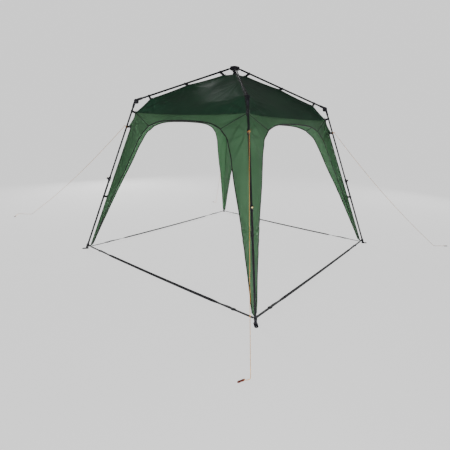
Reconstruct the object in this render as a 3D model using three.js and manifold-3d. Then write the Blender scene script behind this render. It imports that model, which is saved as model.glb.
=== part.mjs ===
// Pitched tarp shelter: steel folding frame, hung canopy, telescopic legs, base straps, guy ropes.
// Millimetres, +Z up, origin on the floor under the hub.
import * as THREE from 'three';
import Module from 'manifold-3d';

const wasm = await Module();
wasm.setup();

// Driving dimensions
const FOOT_HALF = 1500;          // foot centre from the middle, along X and Y
const ELBOW_HALF = 841.8;        // elbow from the middle, along X and Y
const ELBOW_Z = 1849.2;
const PIVOT_R = 45;              // arm pivot from the hub axis
const PIVOT_Z = 2218;
const TUBE_R = 9.5;              // roof arm and upper leg
const TUBE_IN = 8.5;
const LOWER_R = 11.3;            // lower leg, which the upper leg slides into
const LOWER_IN = 10.2;
const SIDES = 16;
const GAP = 0.3;                 // between pieces that touch
const KNUCKLE_R = 16;            // fork cheek round the elbow pin
const SLOT = 8.6;                // fork and hub slots
const TANG = 8;                  // plate that turns in a slot
const FORK_W = 20;
const PIN_R = 3;
const ARM_OFF = 14;              // elbow pin below the arm axis
const LEG_OFF = 16;              // elbow pin inside the leg axis
const SLEEVE_R = 13;
const COLLAR_R = 15.5;
const BOOT_R = 14.5;
const COLLAR_AT = 1004;          // collar middle, down the leg from the elbow
const OVERLAP = 150;             // upper leg inside the lower one
const GUY_AT = 312;              // guy rope, down the leg from the elbow
const GUY_OUT = 22;
const CLOTH_T = 2.5;
const STRAP_W = 30;
const STRAP_T = 3;
const STRAP_Z = 30;
const ROPE_R = 2.2;
const ROPE_LIE = 6.6;            // centre height near its end, where it goes into the runner
const ROPE_SIDES = 6;

// Corner edge of the canopy: radius from the hub axis and height, apex to foot.
const RIDGE = [[36, 2158], [130, 2147], [560, 2030], [1010, 1873], [1204, 1722]];
const EDGE = [[1204, 1722], [1268, 1600], [1316, 1500], [2064, 34]];
// Arch outline on a side: distance from the side's middle, height.
const ARCH = [[560, 1583], [500, 1605], [400, 1630], [250, 1644], [0, 1650]];
// Inner edge of a leg panel: distance from the side's middle, height.
const INNER = [[570, 1578], [668, 1500], [752, 1370], [872, 1130], [1012, 880], [1136, 640], [1270, 370], [1420, 60]];

const CORNERS = { front_left: -135, front_right: -45, back_right: 45, back_left: 135 };
const SIDES_OF = { front: 0, right: 90, back: 180, left: 270 };
// Where each guy rope touches the floor and how it lies from there.
const GUYS = {
  front_left: [[-3997, -1265], [-4110, -1330], [-4205, -1375], [-4150, -1440], [-4060, -1503]],
  front_right: [[1870, -2078], [1872, -2100], [1862, -2118], [1843, -2128]],
  back_right: [[2440, 2130], [2490, 2178], [2535, 2214], [2574, 2251]],
  back_left: [[-2140, 1940], [-2172, 1973], [-2210, 1996], [-2262, 2008]],
};

const v2 = (x, y) => new THREE.Vector2(x, y);
const v3 = (x, y, z) => new THREE.Vector3(x, y, z);

const PAINT = { color: 0x1b1c1f, roughness: 0.45, metalness: 0.6 };
const PLASTIC = { color: 0x17171b, roughness: 0.5, metalness: 0 };
const STEEL = { color: 0x9a9ca0, roughness: 0.35, metalness: 1 };
const YELLOW = { color: 0xd9c77a, roughness: 0.45, metalness: 0 };
const CLOTH = { color: 0x27402f, roughness: 0.85, metalness: 0 };
const WEB = { color: 0x141416, roughness: 0.9, metalness: 0 };
const CORD = { color: 0xd8b47c, roughness: 0.85, metalness: 0 };

// Solid from a closed three.js geometry.
function solid(geometry) {
  const g = geometry.index ? geometry.toNonIndexed() : geometry.clone();
  const at = g.attributes.position.array;
  const seen = new Map();
  const points = [];
  const tris = [];
  for (let i = 0; i < at.length; i += 3) {
    const key = [0, 1, 2].map((k) => Math.round(at[i + k] * 1e4)).join(',');
    if (!seen.has(key)) {
      seen.set(key, points.length / 3);
      points.push(at[i], at[i + 1], at[i + 2]);
    }
    tris.push(seen.get(key));
  }
  const kept = [];
  for (let i = 0; i < tris.length; i += 3) {
    const [a, b, c] = tris.slice(i, i + 3);
    if (a !== b && b !== c && a !== c) kept.push(a, b, c);
  }
  return new wasm.Manifold(new wasm.Mesh({
    numProp: 3,
    vertProperties: new Float32Array(points),
    triVerts: new Uint32Array(kept),
  }));
}

// Flat-shaded three.js geometry from a solid.
function geometryOf(body) {
  const mesh = body.getMesh();
  const g = new THREE.BufferGeometry();
  g.setAttribute('position', new THREE.BufferAttribute(Float32Array.from(mesh.vertProperties), 3));
  g.setIndex(new THREE.BufferAttribute(Uint32Array.from(mesh.triVerts), 1));
  return g;
}

function unite(bodies) {
  return bodies.reduce((a, b) => a.add(b));
}

// Closed skin over rings of equal count, with a fan from the first point of each end.
function loft(rings) {
  const n = rings[0].length;
  const at = [];
  const tri = (a, b, c) => [a, b, c].forEach((p) => at.push(p.x, p.y, p.z));
  for (let i = 0; i + 1 < rings.length; i += 1) {
    for (let k = 0; k < n; k += 1) {
      const j = (k + 1) % n;
      tri(rings[i][k], rings[i][j], rings[i + 1][j]);
      tri(rings[i][k], rings[i + 1][j], rings[i + 1][k]);
    }
  }
  const last = rings[rings.length - 1];
  for (let k = 1; k + 1 < n; k += 1) {
    tri(rings[0][0], rings[0][k + 1], rings[0][k]);
    tri(last[0], last[k], last[k + 1]);
  }
  const g = new THREE.BufferGeometry();
  g.setAttribute('position', new THREE.Float32BufferAttribute(at, 3));
  return g;
}

// Round bar between two points of the XZ plane.
function bar(a, b, radius, sides = SIDES) {
  const from = v3(a.x, 0, a.y);
  const along = v3(b.x, 0, b.y).sub(from);
  const turn = new THREE.Quaternion().setFromUnitVectors(v3(0, 1, 0), along.clone().normalize());
  const g = new THREE.CylinderGeometry(radius, radius, along.length(), sides).applyQuaternion(turn);
  const mid = from.addScaledVector(along, 0.5);
  return solid(g.translate(mid.x, mid.y, mid.z));
}

// Open tube between two points of the XZ plane.
function pipe(a, b, radius, inner, sides = SIDES) {
  const along = b.clone().sub(a).normalize();
  const aside = v3(along.y, 0, -along.x);
  const ring = (c, r) => [...Array(sides).keys()].map((k) => {
    const w = (k / sides) * 2 * Math.PI;
    return v3(c.x, 0, c.y).addScaledVector(aside, r * Math.cos(w)).add(v3(0, r * Math.sin(w), 0));
  });
  const rings = [ring(a, radius), ring(b, radius), ring(b, inner), ring(a, inner)];
  const at = [];
  for (let i = 0; i < 4; i += 1) {
    const one = rings[i];
    const two = rings[(i + 1) % 4];
    for (let k = 0; k < sides; k += 1) {
      const j = (k + 1) % sides;
      [one[k], two[j], one[j], one[k], two[k], two[j]].forEach((p) => at.push(p.x, p.y, p.z));
    }
  }
  const g = new THREE.BufferGeometry();
  g.setAttribute('position', new THREE.Float32BufferAttribute(at, 3));
  const body = solid(g);
  if (body.volume() > 0) return body;
  const back = [];
  for (let i = 0; i < at.length; i += 9) {
    back.push(...at.slice(i, i + 3), ...at.slice(i + 6, i + 9), ...at.slice(i + 3, i + 6));
  }
  g.setAttribute('position', new THREE.Float32BufferAttribute(back, 3));
  return solid(g);
}

// Plate of even thickness across Y from an outline in the XZ plane.
function plate(outline, thick) {
  const g = new THREE.ExtrudeGeometry(new THREE.Shape(outline), { depth: thick, bevelEnabled: false });
  g.rotateX(Math.PI / 2);
  g.translate(0, thick / 2, 0);
  return solid(g);
}

function disc(centre, radius, thick, sides = 20) {
  const ring = [...Array(sides).keys()].map((i) => {
    const a = (i / sides) * 2 * Math.PI;
    return v2(centre.x + radius * Math.cos(a), centre.y + radius * Math.sin(a));
  });
  return plate(ring, thick);
}

// Convex outline round a set of points.
function hull(points) {
  const p = [...points].sort((a, b) => a.x - b.x || a.y - b.y);
  const turn = (o, a, b) => (a.x - o.x) * (b.y - o.y) - (a.y - o.y) * (b.x - o.x);
  const half = (list) => {
    const out = [];
    for (const q of list) {
      while (out.length > 1 && turn(out[out.length - 2], out[out.length - 1], q) <= 0) out.pop();
      out.push(q);
    }
    out.pop();
    return out;
  };
  return [...half(p), ...half(p.reverse())];
}

function ringPoints(centre, radius, sides = 20) {
  return [...Array(sides).keys()].map((i) => {
    const a = (i / sides) * 2 * Math.PI;
    return v2(centre.x + radius * Math.cos(a), centre.y + radius * Math.sin(a));
  });
}

// Frame lines in the corner plane: x is the radius and y the height.
const HUB_PIVOT = v2(PIVOT_R, PIVOT_Z);
const KNEE = v2(ELBOW_HALF * Math.SQRT2, ELBOW_Z);
const FOOT = v2(FOOT_HALF * Math.SQRT2, 0);
const ARM = KNEE.clone().sub(HUB_PIVOT);
const ARM_L = ARM.length();
ARM.normalize();
const LEG = FOOT.clone().sub(KNEE);
const LEG_L = LEG.length();
LEG.normalize();
const ARM_N = v2(ARM.y, -ARM.x);
const LEG_N = v2(LEG.y, -LEG.x);
const onArm = (s, n = 0) => HUB_PIVOT.clone().addScaledVector(ARM, s).addScaledVector(ARM_N, n);
const onLeg = (t, n = 0) => KNEE.clone().addScaledVector(LEG, t).addScaledVector(LEG_N, n);

// Elbow pin: ARM_OFF below the arm axis and LEG_OFF inside the leg axis.
const across = ARM.x * -LEG.y + LEG.x * ARM.y;
const side = LEG_N.clone().multiplyScalar(LEG_OFF).addScaledVector(ARM_N, -ARM_OFF);
const armShift = (side.x * -LEG.y + LEG.x * side.y) / across;
const ELBOW = onArm(ARM_L + armShift, ARM_OFF);
const ELBOW_T = ELBOW.clone().sub(KNEE).dot(LEG);

function pinHole(centre, radius) {
  return disc(centre, radius, 60, 12);
}

function hub() {
  const profile = [
    v2(0, 2146), v2(18, 2146), v2(20, 2180), v2(34, 2196), v2(55, 2203),
    v2(58, 2207), v2(58, 2231), v2(53, 2236), v2(0, 2236),
  ];
  const body = solid(new THREE.LatheGeometry(profile, 24).rotateX(Math.PI / 2));
  const slot = new THREE.BoxGeometry(60, SLOT, 120).translate(64.5, 0, 2218);
  const pin = new THREE.CylinderGeometry(PIN_R, PIN_R, 24, 12).translate(PIVOT_R, 0, PIVOT_Z);
  let done = body;
  for (const angle of Object.values(CORNERS)) {
    const turned = (g) => solid(g.clone().rotateZ(THREE.MathUtils.degToRad(angle)));
    done = done.subtract(turned(slot)).add(turned(pin));
  }
  return done;
}

function hubCap() {
  const z = 2236 + GAP;
  const profile = [v2(0, z), v2(30, z), v2(30, z + 3), v2(26, z + 5.5), v2(0, z + 7)];
  return solid(new THREE.LatheGeometry(profile, 24).rotateX(Math.PI / 2));
}

function roofArm() {
  const tang = plate(hull([
    ...ringPoints(HUB_PIVOT, 7), onArm(40, -6), onArm(40, 6),
  ]), TANG);
  const tube = bar(onArm(28), onArm(ARM_L - 29), TUBE_R)
    .subtract(bar(onArm(55), onArm(ARM_L - 20), TUBE_IN));
  return unite([tube, tang]).subtract(pinHole(HUB_PIVOT, PIN_R + 0.4));
}

function elbowFork() {
  const s = ARM_L;
  const sleeve = bar(onArm(s - 84), onArm(s - 16), SLEEVE_R);
  const cheeks = plate(hull([
    ...ringPoints(ELBOW, KNUCKLE_R), onArm(s - 30, -11), onArm(s - 30, 11),
    onArm(s - 6, -12), onArm(s - 30, -11),
  ]), FORK_W);
  const bore = bar(onArm(s - 90), onArm(s - 29 + GAP), TUBE_R + GAP);
  return unite([sleeve, cheeks])
    .subtract(bore)
    .subtract(disc(ELBOW, 21, SLOT, 24))
    .subtract(plate([ELBOW, onArm(s + 60, -20), onArm(s + 60, 60), onArm(s - 20, 60)], SLOT))
    .subtract(pinHole(ELBOW, PIN_R + GAP));
}

function elbowBlock() {
  const top = ELBOW_T + 19;
  const sleeve = bar(onLeg(top), onLeg(top + 58), SLEEVE_R);
  const tang = plate(hull([
    ...ringPoints(ELBOW, 15), onLeg(top + 3, -11), onLeg(top + 3, 11),
    onLeg(top + 16, -9), onLeg(top + 16, 9),
  ]), TANG);
  const bore = bar(onLeg(top + 8 - GAP), onLeg(top + 62), TUBE_R + GAP);
  return unite([sleeve, tang]).subtract(bore).subtract(pinHole(ELBOW, PIN_R + 0.4));
}

function elbowPin() {
  const half = FORK_W / 2 + GAP;
  const profile = [
    v2(0, -half - 3), v2(4.5, -half - 3), v2(5.5, -half - 2), v2(5.5, -half), v2(PIN_R, -half),
    v2(PIN_R, half), v2(5.5, half), v2(5.5, half + 2), v2(4.5, half + 3), v2(0, half + 3),
  ];
  return solid(new THREE.LatheGeometry(profile, 12).translate(ELBOW.x, 0, ELBOW.y));
}

function upperLeg() {
  return pipe(onLeg(ELBOW_T + 27), onLeg(COLLAR_AT + OVERLAP), TUBE_R, TUBE_IN);
}

function legCollar() {
  const t = COLLAR_AT;
  const body = unite([
    bar(onLeg(t - 26), onLeg(t + 26), COLLAR_R),
    bar(onLeg(t, 0), onLeg(t, -31), 12.5),
  ]);
  return body
    .subtract(bar(onLeg(t - 30), onLeg(t + 30), LOWER_IN + 0.2))
    .subtract(bar(onLeg(t - 16), onLeg(t + 30), LOWER_R + GAP))
    .subtract(bar(onLeg(t, -16), onLeg(t, -40), 8 + GAP));
}

function snapButton() {
  const profile = [v2(0, 0), v2(8, 0), v2(8, 14), v2(6.5, 16), v2(0, 16.6)];
  const g = new THREE.LatheGeometry(profile, SIDES);
  const out = LEG_N.clone().negate();
  g.applyQuaternion(new THREE.Quaternion().setFromUnitVectors(v3(0, 1, 0), v3(out.x, 0, out.y)));
  const at = onLeg(COLLAR_AT, -19.6);
  return solid(g.translate(at.x, 0, at.y));
}

function lowerLeg() {
  return pipe(onLeg(COLLAR_AT - 15), onLeg(LEG_L - 22), LOWER_R, LOWER_IN);
}

function foot() {
  const shape = new THREE.Shape();
  const w = 20;
  shape.moveTo(-28, -12);
  shape.lineTo(-20, -w);
  shape.lineTo(40, -w);
  shape.absarc(40, 0, w, -Math.PI / 2, Math.PI / 2, false);
  shape.lineTo(-20, w);
  shape.lineTo(-28, 12);
  const hole = new THREE.Path().absarc(44, 0, 5, 0, 2 * Math.PI, true);
  shape.holes.push(hole);
  const base = new THREE.ExtrudeGeometry(shape, { depth: 5, bevelEnabled: false, curveSegments: 6 });
  const boot = bar(onLeg(LEG_L - 80), onLeg(LEG_L + 12), BOOT_R);
  const ground = new THREE.BoxGeometry(200, 200, 60).translate(FOOT.x, 0, -30);
  return unite([solid(base.translate(FOOT.x, 0, 0)), boot])
    .subtract(bar(onLeg(LEG_L - 84), onLeg(LEG_L - 22 + GAP), LOWER_R + GAP))
    .subtract(solid(ground));
}

// Cloth of even thickness under a grid of points. Each point moves in along its own normal.
function cloth(rows, thick, middle) {
  const n = rows[0].length;
  const at = (i, k) => rows[Math.min(Math.max(i, 0), rows.length - 1)][Math.min(Math.max(k, 0), n - 1)];
  const inner = rows.map((row, i) => row.map((p, k) => {
    const normal = v3(0, 0, 0);
    for (const [di, dk] of [[1, 1], [1, -1], [-1, 1], [-1, -1]]) {
      const a = at(i + di, k).clone().sub(p);
      const b = at(i, k + dk).clone().sub(p);
      const one = a.cross(b).multiplyScalar(di * dk);
      if (one.lengthSq() > 1e-9) normal.add(one.normalize());
    }
    normal.normalize();
    if (normal.dot(middle.clone().sub(p)) < 0) normal.negate();
    return p.clone().addScaledVector(normal, thick);
  }));
  const rings = rows.map((row, i) => [...row, ...[...inner[i]].reverse()]);
  const skin = [];
  const tri = (a, b, c) => [a, b, c].forEach((p) => skin.push(p.x, p.y, p.z));
  for (let i = 0; i + 1 < rings.length; i += 1) {
    for (let k = 0; k < 2 * n; k += 1) {
      const j = (k + 1) % (2 * n);
      tri(rings[i][k], rings[i][j], rings[i + 1][j]);
      tri(rings[i][k], rings[i + 1][j], rings[i + 1][k]);
    }
  }
  for (const [i, flip] of [[0, false], [rings.length - 1, true]]) {
    for (let k = 0; k + 1 < n; k += 1) {
      const q = [rows[i][k], rows[i][k + 1], inner[i][k + 1], inner[i][k]];
      if (flip) q.reverse();
      tri(q[0], q[2], q[1]);
      tri(q[0], q[3], q[2]);
    }
  }
  const g = new THREE.BufferGeometry();
  g.setAttribute('position', new THREE.Float32BufferAttribute(skin, 3));
  const body = solid(g);
  if (body.volume() > 0) return body;
  const back = [];
  for (let i = 0; i < skin.length; i += 9) {
    back.push(...skin.slice(i, i + 3), ...skin.slice(i + 6, i + 9), ...skin.slice(i + 3, i + 6));
  }
  g.setAttribute('position', new THREE.Float32BufferAttribute(back, 3));
  return solid(g);
}

const INSIDE = v3(0, 0, 900);

// Roof between two corners, modelled for the side that faces -Y.
function roofPanel() {
  const sag = [0, 8, 30, 62, 18];
  const rows = RIDGE.map(([r, z], i) => {
    const half = r / Math.SQRT2;
    return [-1, -0.5, 0, 0.5, 1].map((c) => {
      const low = sag[i] * (1 - c * c);
      return v3(c * (half - 4), -half, z - low);
    });
  });
  return cloth(rows, CLOTH_T, INSIDE);
}

// Height and inset of the side plane at a height.
function sideY(z) {
  const [top, , , base] = EDGE;
  const f = (z - base[1]) / (top[1] - base[1]);
  return -(base[0] + f * (top[0] - base[0])) / Math.SQRT2;
}

// Band between the eave and the arch on the side that faces -Y.
function sidePanel() {
  const top = 1722 - 18 - 3;
  const half = [...ARCH].map(([x, z]) => [x, z]);
  const line = [...half.map(([x, z]) => [-x, z]), ...half.slice(0, -1).reverse()];
  const eave = (x) => 1722 - 18 * (1 - (x / 851) ** 2) - 3;
  const upper = line.map(([x]) => {
    const spread = x * (835 / 560);
    return v3(spread, sideY(eave(spread)), eave(spread));
  });
  const lower = line.map(([x, z]) => v3(x, sideY(z), z));
  return cloth([upper, lower], CLOTH_T, INSIDE);
}

// V-shaped panel down one leg, in the corner plane's own axes.
function legPanel() {
  const rows = INNER.map(([x, z], i) => {
    const f = i / (INNER.length - 1);
    const edge = f < 0.3 ? 1715 - f * 600 : 1535 - ((f - 0.3) / 0.7) * (1535 - 40);
    const [a, b] = edge > 1600 ? [EDGE[0], EDGE[1]] : edge > 1500 ? [EDGE[1], EDGE[2]] : [EDGE[2], EDGE[3]];
    const r = a[0] + ((a[1] - edge) / (a[1] - b[1])) * (b[0] - a[0]) - 4;
    const y = -sideY(z);
    const radial = (x + y) / Math.SQRT2;
    const aside = (y - x) / Math.SQRT2;
    return [v3(radial, -aside, z), v3(r, 0, edge), v3(radial, aside, z)];
  });
  return cloth(rows, CLOTH_T, v3(0, 0, 900));
}

// Webbing between two feet on the side that faces -Y.
function baseStrap() {
  const half = 1418;
  const y = -(EDGE[3][0] / Math.SQRT2);
  const rows = [-1, -0.5, 0, 0.5, 1].map((c) => {
    const z = STRAP_Z - 12 * (1 - c * c);
    return [v3(c * half, y - STRAP_W / 2, z), v3(c * half, y + STRAP_W / 2, z)];
  });
  return cloth(rows, STRAP_T, v3(0, y, -900));
}

// Rope from the leg to the floor and along it, as rings round its line.
function guyRope(corner) {
  const angle = THREE.MathUtils.degToRad(CORNERS[corner]);
  const start = onLeg(GUY_AT, -GUY_OUT);
  const a = v3(start.x * Math.cos(angle), start.x * Math.sin(angle), start.y);
  const lie = GUYS[corner].map(([x, y]) => v3(x, y, ROPE_LIE));
  const line = [];
  for (let i = 0; i < 12; i += 1) {
    const f = i / 12;
    const p = a.clone().lerp(lie[0], f);
    p.z -= 60 * 4 * f * (1 - f);
    line.push(p);
  }
  const curve = new THREE.CatmullRomCurve3([...line, ...lie], false, 'centripetal');
  const steps = 28;
  const frames = [...Array(steps + 1).keys()].map((i) => {
    const at = curve.getPoint(i / steps);
    at.z = Math.max(at.z, ROPE_LIE);
    return at;
  });
  const rings = frames.map((p, i) => {
    const ahead = frames[Math.min(i + 1, steps)].clone().sub(frames[Math.max(i - 1, 0)]).normalize();
    const flat = v3(-ahead.y, ahead.x, 0).normalize();
    const up = ahead.clone().cross(flat).normalize();
    return [...Array(ROPE_SIDES).keys()].map((k) => {
      const w = (k / ROPE_SIDES) * 2 * Math.PI;
      return p.clone().addScaledVector(flat, ROPE_R * Math.cos(w)).addScaledVector(up, ROPE_R * Math.sin(w));
    });
  });
  return solid(loft(rings));
}

const assembly = new THREE.Group();
assembly.name = 'tarp_shelter';

function put(name, body, finish, degrees = 0) {
  const g = geometryOf(body).rotateZ(THREE.MathUtils.degToRad(degrees));
  const mesh = new THREE.Mesh(g, new THREE.MeshStandardMaterial(finish));
  mesh.name = name;
  assembly.add(mesh);
}

put('hub', hub(), PLASTIC);
put('hub_cap', hubCap(), PLASTIC);

const LIMB = [
  ['roof_arm', roofArm(), PAINT],
  ['elbow_fork', elbowFork(), PLASTIC],
  ['elbow_block', elbowBlock(), PLASTIC],
  ['elbow_pin', elbowPin(), STEEL],
  ['upper_leg', upperLeg(), PAINT],
  ['leg_collar', legCollar(), PLASTIC],
  ['snap_button', snapButton(), YELLOW],
  ['lower_leg', lowerLeg(), PAINT],
  ['foot', foot(), PLASTIC],
  ['leg_panel', legPanel(), CLOTH],
];
for (const [corner, angle] of Object.entries(CORNERS)) {
  for (const [name, body, finish] of LIMB) put(`${name}_${corner}`, body, finish, angle);
  put(`guy_rope_${corner}`, guyRope(corner), CORD);
}

const SPAN = [
  ['roof_panel', roofPanel(), CLOTH],
  ['side_panel', sidePanel(), CLOTH],
  ['base_strap', baseStrap(), WEB],
];
for (const [sideName, angle] of Object.entries(SIDES_OF)) {
  for (const [name, body, finish] of SPAN) put(`${name}_${sideName}`, body, finish, angle);
}

export default assembly;
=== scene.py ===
"""Pitched tarp shelter: steel folding frame outside, green canopy hung inside it, webbing and guy ropes."""
import math

import bmesh
import bpy
import numpy as np
from mathutils import Matrix, Vector


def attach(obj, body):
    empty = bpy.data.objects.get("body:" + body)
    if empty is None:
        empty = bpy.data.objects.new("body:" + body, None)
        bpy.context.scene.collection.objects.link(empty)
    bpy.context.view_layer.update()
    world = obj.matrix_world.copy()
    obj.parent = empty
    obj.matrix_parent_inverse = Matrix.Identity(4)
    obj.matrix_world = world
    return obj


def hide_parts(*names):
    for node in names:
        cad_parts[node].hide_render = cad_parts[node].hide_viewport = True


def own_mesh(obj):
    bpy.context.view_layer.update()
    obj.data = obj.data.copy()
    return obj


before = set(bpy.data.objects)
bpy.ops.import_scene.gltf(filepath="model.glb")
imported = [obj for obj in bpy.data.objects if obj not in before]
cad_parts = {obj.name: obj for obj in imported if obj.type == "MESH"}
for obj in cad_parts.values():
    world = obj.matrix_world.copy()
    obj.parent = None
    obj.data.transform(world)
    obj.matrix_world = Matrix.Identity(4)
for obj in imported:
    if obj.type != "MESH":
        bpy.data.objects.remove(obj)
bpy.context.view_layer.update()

# Frame lines in a corner's upright plane: radius from the hub axis and height, in metres.
ROOT2 = math.sqrt(2)
HUB_PIVOT = np.array([0.045, 2.218])
KNEE = np.array([0.8418 * ROOT2, 1.8492])
FOOT = np.array([1.5 * ROOT2, 0.0])
ARM_LENGTH = float(np.linalg.norm(KNEE - HUB_PIVOT))
ARM = (KNEE - HUB_PIVOT) / ARM_LENGTH
LEG_LENGTH = float(np.linalg.norm(FOOT - KNEE))
LEG = (FOOT - KNEE) / LEG_LENGTH
ARM_DOWN = np.array([ARM[1], -ARM[0]])
LEG_IN = np.array([LEG[1], -LEG[0]])
ELBOW = np.array([1.177943, 1.838530])
TUBE_R, LOWER_R = 0.0095, 0.0113

CORNERS = {"front_left": (-1, -1), "front_right": (1, -1), "back_right": (1, 1), "back_left": (-1, 1)}
# Each side: the way it faces, and the corners at its left and right seen from outside.
SIDES = {
    "front": ((0, -1), "front_left", "front_right"),
    "right": ((1, 0), "front_right", "back_right"),
    "back": ((0, 1), "back_right", "back_left"),
    "left": ((-1, 0), "back_left", "front_left"),
}
RIDGE = np.array([[0.036, 2.158], [0.130, 2.147], [0.560, 2.030], [1.010, 1.873], [1.204, 1.722]])
RIDGE_SAG = np.array([0.0, 0.008, 0.030, 0.062, 0.018])
EDGE = np.array([[1.204, 1.722], [1.268, 1.600], [1.316, 1.500], [2.064, 0.034]])
ARCH = np.array([[0.560, 1.583], [0.500, 1.605], [0.400, 1.630], [0.250, 1.644], [0.0, 1.650]])
INNER = np.array([[0.560, 1.583], [0.612, 1.545], [0.668, 1.500], [0.752, 1.370], [0.872, 1.130],
                  [1.012, 0.880], [1.136, 0.640], [1.270, 0.370], [1.420, 0.060]])
GUY_AT, GUY_OUT = 0.312, 0.022
ROPE_R, ROPE_LIE = 0.0022, 0.0066
CLOTH_T = 0.0012
STRAP_REACH = 1.418
STRAP_BAND = (0.030, 0.0024)
GUYS = {
    "front_left": [[-3.997, -1.265], [-4.110, -1.330], [-4.205, -1.375], [-4.150, -1.440], [-4.060, -1.503]],
    "front_right": [[1.870, -2.078], [1.872, -2.100], [1.862, -2.118], [1.843, -2.128]],
    "back_right": [[2.440, 2.130], [2.490, 2.178], [2.535, 2.214], [2.574, 2.251]],
    "back_left": [[-2.140, 1.940], [-2.172, 1.973], [-2.210, 1.996], [-2.262, 2.008]],
}


def on_arm(s, n=0.0):
    """Point s along the roof arm from the hub pivot and n below its axis, as radius and height."""
    return HUB_PIVOT + s * ARM + n * ARM_DOWN


def on_leg(t, n=0.0):
    """Point t down the leg from the elbow and n inside its axis, as radius and height."""
    return KNEE + t * LEG + n * LEG_IN


def corner_axes(corner):
    """Unit vectors of a corner: outwards along the diagonal, sideways, and up."""
    sx, sy = CORNERS[corner]
    return np.array([[sx, sy, 0], [-sy, sx, 0], [0, 0, ROOT2]]) / ROOT2


def at_corner(corner, rz, aside=0.0):
    """Corner plane points (radius, height) with a sideways offset, as row frame points."""
    rz = np.atleast_2d(rz)
    aside = np.broadcast_to(aside, (len(rz),))
    out = np.stack([rz[:, 0], aside, rz[:, 1]], axis=1)
    return out @ corner_axes(corner)


def side_axes(side):
    """Unit vectors of a side: along it to the right seen from outside, outwards, and up."""
    (nx, ny), _, _ = SIDES[side]
    return np.array([[-ny, nx, 0], [nx, ny, 0], [0, 0, 1.0]])


# ---------------------------------------------------------------- mesh makers

def new_object(name, points, faces, uv=None, smooth=True):
    """A mesh object from points and faces, each loop's UV given by its vertex's row of uv."""
    mesh = bpy.data.meshes.new(name)
    mesh.from_pydata(points.reshape(-1, 3).tolist(), [], faces)
    mesh.update()
    if uv is not None:
        layer = mesh.uv_layers.new(name="cloth_uv")
        loops = np.zeros(len(mesh.loops), np.int32)
        mesh.loops.foreach_get("vertex_index", loops)
        layer.data.foreach_set("uv", uv.reshape(-1, 2)[loops].astype(np.float32).ravel())
    mesh.polygons.foreach_set("use_smooth", np.full(len(mesh.polygons), smooth))
    obj = bpy.data.objects.new(name, mesh)
    bpy.context.scene.collection.objects.link(obj)
    return obj


def grid_faces(rows, cols, wrap=False):
    """Quads between neighbours of a rows by cols grid, joined round across its columns if wrap."""
    k = np.arange(cols if wrap else cols - 1)
    i = np.arange(rows - 1)[:, None] * cols
    j = (k + 1) % cols
    quads = np.stack([i + k, i + j, i + cols + j, i + cols + k], axis=-1).reshape(-1, 4)
    return quads.tolist()


def end_faces(rows, cols):
    """Flat faces over the first and last rows of a grid that is joined round across its columns."""
    return [list(range(cols))[::-1], [(rows - 1) * cols + k for k in range(cols)]]


def grid_uv(points):
    """Metres along each grid direction, measured on the surface through its middle row and column."""
    rows, cols = points.shape[:2]
    down = np.linalg.norm(np.diff(points, axis=0), axis=2).cumsum(0)
    over = np.linalg.norm(np.diff(points, axis=1), axis=2).cumsum(1)
    v = np.vstack([np.zeros((1, cols)), down]).mean(1)
    u = np.hstack([np.zeros((rows, 1)), over])
    return np.stack([u, np.broadcast_to(v[:, None], (rows, cols))], axis=-1)


def outward(obj, weld=False):
    """Turns every face of a closed mesh to point out, after joining doubled points if weld."""
    work = bmesh.new()
    work.from_mesh(obj.data)
    if weld:
        bmesh.ops.remove_doubles(work, verts=work.verts, dist=1e-6)
    bmesh.ops.recalc_face_normals(work, faces=work.faces)
    work.to_mesh(obj.data)
    work.free()
    return obj


def smooth_by_angle(obj, degrees=35):
    """Smooth shading with edges sharper than the angle kept crisp."""
    obj.data.polygons.foreach_set("use_smooth", np.full(len(obj.data.polygons), True))
    obj.data.set_sharp_from_angle(angle=math.radians(degrees))
    return obj


def frames_along(path, up):
    """Unit side and up vectors along a path: side is tangent cross up, then up is made square to both."""
    tangent = np.gradient(path, axis=0)
    tangent /= np.linalg.norm(tangent, axis=1, keepdims=True)
    up = np.broadcast_to(np.asarray(up, float), path.shape)
    side = np.cross(tangent, up)
    side /= np.maximum(np.linalg.norm(side, axis=1, keepdims=True), 1e-9)
    return side, np.cross(side, tangent)


def sweep(name, path, profile, up=(0, 0, 1)):
    """A closed profile carried along a path: each point is path + x * side + y * up, with flat ends."""
    side, upward = frames_along(path, up)
    points = path[:, None] + (
        profile[None, :, 0, None] * side[:, None] + profile[None, :, 1, None] * upward[:, None])
    n, m = points.shape[:2]
    faces = grid_faces(n, m, wrap=True) + end_faces(n, m)
    along = np.concatenate([[0], np.linalg.norm(np.diff(path, axis=0), axis=1).cumsum()])
    ring = np.linalg.norm(np.roll(profile, -1, 0) - profile, axis=1)
    around = np.concatenate([[0], ring.cumsum()[:-1]])
    uv = np.stack(np.broadcast_arrays(around[None, :], along[:, None]), axis=-1)
    return smooth_by_angle(outward(new_object(name, points, faces, uv)), 50)


def round_profile(radius, sides=24):
    """Circle points."""
    a = np.arange(sides) / sides * 2 * np.pi
    return radius * np.stack([np.cos(a), np.sin(a)], axis=1)


def band_profile(width, thick, sides=5):
    """Flat band with half-round edges: half circles of the thickness at both ends of the width."""
    a = np.linspace(-np.pi / 2, np.pi / 2, sides)
    right = np.stack([width / 2 - thick / 2 + thick / 2 * np.cos(a), thick / 2 * np.sin(a)], axis=1)
    return np.vstack([right, -right])


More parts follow.
